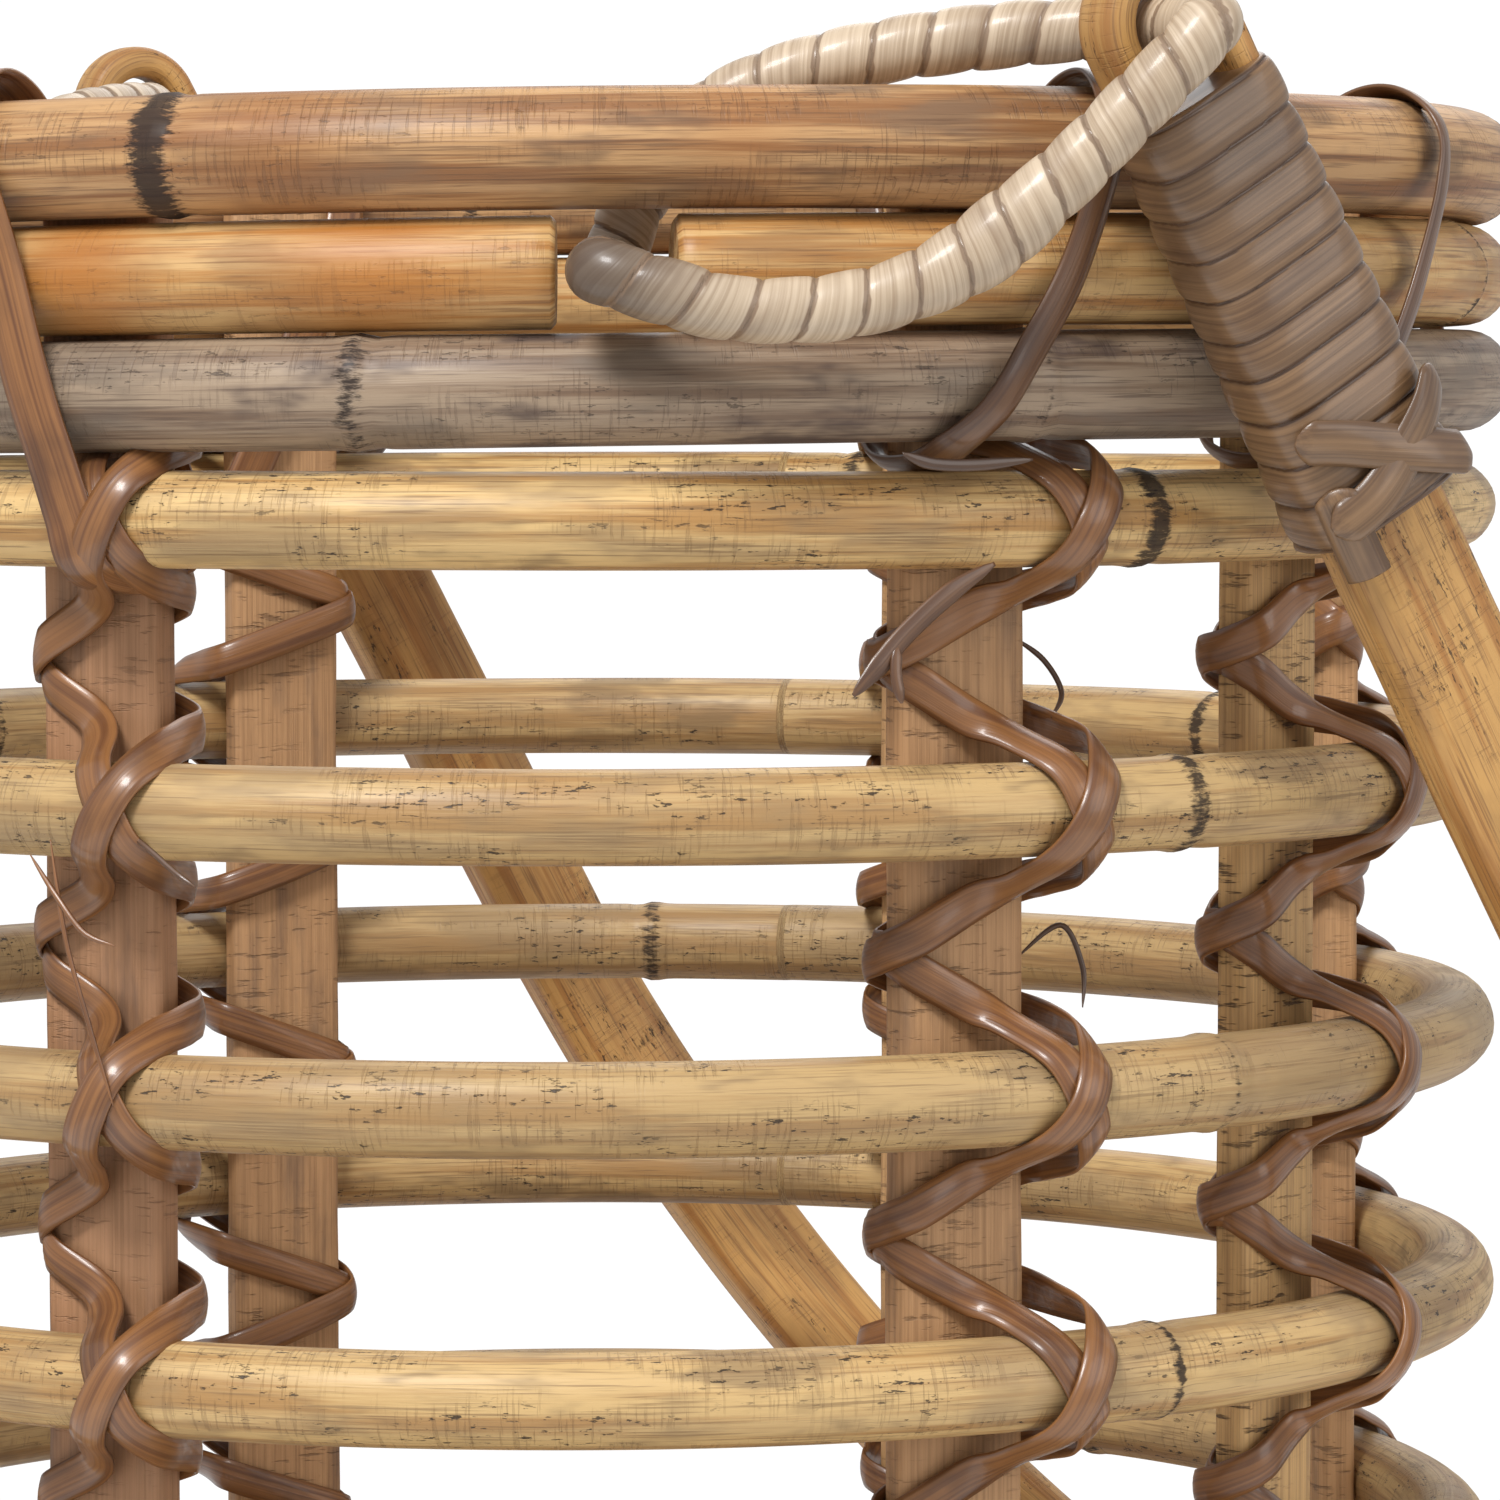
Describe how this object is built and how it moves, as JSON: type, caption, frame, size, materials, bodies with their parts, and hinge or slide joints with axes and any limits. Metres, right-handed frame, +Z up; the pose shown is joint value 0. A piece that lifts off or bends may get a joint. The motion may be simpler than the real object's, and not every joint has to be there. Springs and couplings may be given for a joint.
{
  "type": "rattan lantern",
  "caption": "Round open candle lantern of bent rattan hoops lashed with cane to upright slats, with a swinging bail handle held in wrapped cane loops.",
  "frame": {"origin": "centre of the candle board's underside, on the lantern's axis, where the lantern stands", "axes": "+Z up along the lantern's axis; the hinge line of the handle is 31.5 degrees round from -Y towards +X"},
  "size_m": [0.2908, 0.3054, 0.346],
  "materials": {
    "rim_pole": "smooth rattan skin, satin",
    "hoop_pole": "smooth rattan skin, satin",
    "stake_slat": "split pole, dry matt",
    "cane_strip": "glossy split cane",
    "pale_cane": "split cane, satin",
    "handle_pole": "smooth pole, satin",
    "whipping_cane": "glossy split cane",
    "board_wood": "sanded board, dry",
    "nail_steel": "dull wire nail"
  },
  "bodies": {
    "lantern": {"rim_ring_top": "rim_pole", "rim_ring_middle_long": "rim_pole", "rim_ring_middle_short": "rim_pole", "rim_ring_bottom": "rim_pole", "hoop_1": "hoop_pole", "hoop_2": "hoop_pole", "hoop_3": "hoop_pole", "hoop_4": "hoop_pole", "hoop_5": "hoop_pole", "hoop_6": "hoop_pole", "hoop_7": "hoop_pole", "base_ring_upper": "hoop_pole", "base_ring_lower": "hoop_pole", "stake_1": "stake_slat", "stake_2": "stake_slat", "stake_3": "stake_slat", "stake_4": "stake_slat", "stake_5": "stake_slat", "stake_6": "stake_slat", "stake_7": "stake_slat", "stake_8": "stake_slat", "hoop_lashing_1": "cane_strip", "hoop_lashing_2": "cane_strip", "hoop_lashing_3": "cane_strip", "hoop_lashing_4": "cane_strip", "hoop_lashing_5": "cane_strip", "hoop_lashing_6": "cane_strip", "hoop_lashing_7": "cane_strip", "hoop_lashing_8": "cane_strip", "rim_tie_1": "cane_strip", "rim_tie_2": "cane_strip", "rim_tie_3": "cane_strip", "rim_tie_4": "cane_strip", "rim_tie_5": "cane_strip", "rim_tie_6": "cane_strip", "rim_tie_7": "cane_strip", "rim_tie_8": "cane_strip", "base_tie_1": "cane_strip", "base_tie_2": "cane_strip", "base_tie_3": "cane_strip", "base_tie_4": "cane_strip", "base_tie_5": "cane_strip", "base_tie_6": "cane_strip", "base_tie_7": "cane_strip", "base_tie_8": "cane_strip", "candle_board": "board_wood", "floor_nails": "nail_steel", "hinge_loop_core_near": "pale_cane", "hinge_loop_wrap_near": "pale_cane", "hinge_loop_core_far": "pale_cane", "hinge_loop_wrap_far": "pale_cane"},
    "handle": {"handle_bail": "handle_pole", "handle_whipping_near": "whipping_cane", "handle_whipping_far": "whipping_cane"}
  },
  "joints": [
    {"name": "handle_swing", "type": "hinge", "parent": "lantern", "child": "handle", "pos_m": [0, 0, 0.3359], "axis": [0.5225, -0.8526, 0], "range_deg": [0, 215]}
  ]
}
